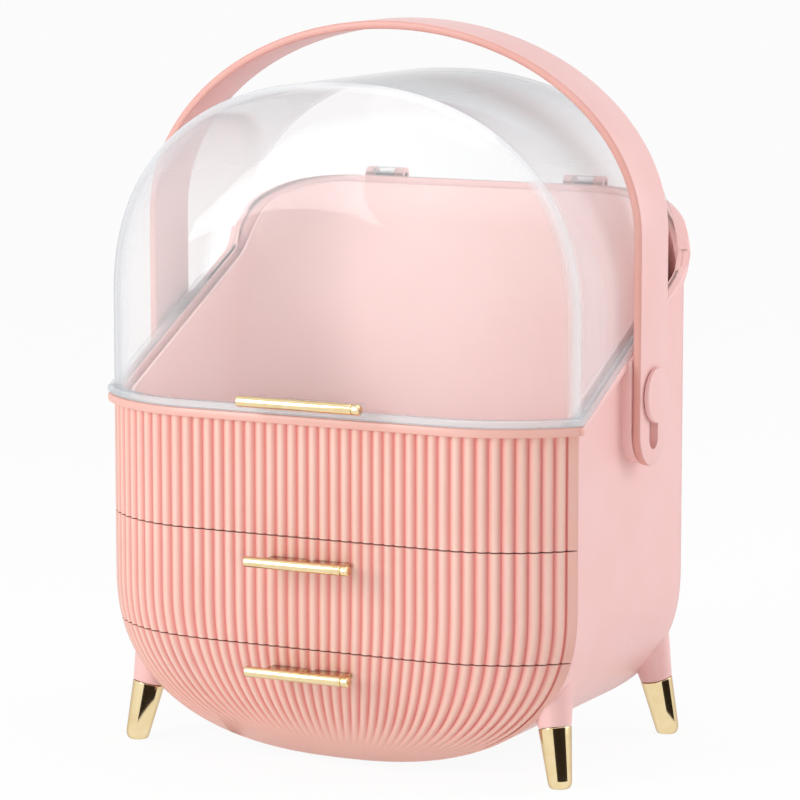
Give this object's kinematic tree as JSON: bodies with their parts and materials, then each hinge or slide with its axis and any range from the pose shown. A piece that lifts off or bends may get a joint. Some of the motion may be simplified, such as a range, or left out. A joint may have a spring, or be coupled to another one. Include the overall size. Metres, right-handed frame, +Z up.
{
  "type": "makeup organizer with drawers and hinged hood",
  "caption": "Ribbed rounded organizer box on short legs with two drawers, a clear hinged dust hood over a deep open tray, gold pulls and a swinging carry handle.",
  "frame": {"origin": "on the table plane under the feet, at the middle of the whole part's footprint", "axes": "+Z up, -Y out of the drawer fronts, +X to the right of someone facing the drawers"},
  "size_m": [0.2986, 0.2291, 0.3877],
  "materials": {
    "pink_plastic": "satin moulded ABS, salmon pink",
    "pale_pink_plastic": "satin moulded ABS, pale salmon pink",
    "gold_plating": "polished gold plating",
    "clear_plastic": "clear glossy moulded plastic",
    "steel": "zinc-plated steel screws and pins"
  },
  "bodies": {
    "body": {"drawer_shelf": "pink_plastic", "fascia_screw_left": "steel", "fascia_screw_right": "steel", "front_fascia": "pink_plastic", "hinge_pin_left": "steel", "hinge_pin_right": "steel", "leg_stud_front_left": "steel", "leg_stud_front_right": "steel", "leg_stud_rear_left": "steel", "leg_stud_rear_right": "steel", "leg_tip_front_left": "gold_plating", "leg_tip_front_right": "gold_plating", "leg_tip_rear_left": "gold_plating", "leg_tip_rear_right": "gold_plating", "outer_shell": "pale_pink_plastic", "tray_screw_front_left": "steel", "tray_screw_front_right": "steel", "tray_screw_rear_left": "steel", "tray_screw_rear_right": "steel", "upper_tray": "pink_plastic"},
    "upper_drawer": {"upper_drawer_front": "pink_plastic", "upper_drawer_tray": "pink_plastic", "upper_drawer_pull": "gold_plating", "upper_pull_screw_left": "steel", "upper_pull_screw_right": "steel"},
    "lower_drawer": {"lower_drawer_front": "pink_plastic", "lower_drawer_tray": "pink_plastic", "lower_drawer_pull": "gold_plating", "lower_pull_screw_left": "steel", "lower_pull_screw_right": "steel"},
    "hood": {"hood_shell": "clear_plastic", "hood_pull_bar": "gold_plating"},
    "handle_pivots": {"pivot_disc_left": "pink_plastic", "pivot_disc_right": "pink_plastic", "pivot_screw_left": "steel", "pivot_screw_right": "steel"},
    "handle": {"handle_band": "pink_plastic"}
  },
  "joints": [
    {"name": "upper_drawer_slide", "type": "slide", "parent": "body", "child": "upper_drawer", "axis": [0, -1, 0], "range_m": [0, 0.11]},
    {"name": "lower_drawer_slide", "type": "slide", "parent": "body", "child": "lower_drawer", "axis": [0, -1, 0], "range_m": [0, 0.11]},
    {"name": "hood_hinge", "type": "hinge", "parent": "body", "child": "hood", "pos_m": [0, 0.11063, 0.295], "axis": [-1, 0, 0], "range_deg": [0, 66]},
    {"name": "handle_swing", "type": "hinge", "parent": "body", "child": "handle_pivots", "pos_m": [0, 0.00912, 0.1963], "axis": [-1, 0, 0], "range_deg": [0, 132]},
    {"name": "handle_lift", "type": "slide", "parent": "handle_pivots", "child": "handle", "axis": [0, 0, 1], "range_m": [0, 0.0225]}
  ],
  "couplings": [
    {"joint": "handle_swing", "follows": "hood_hinge", "ratio": 2},
    {"joint": "handle_lift", "follows": "hood_hinge", "m_per_rad": 0.0195}
  ]
}
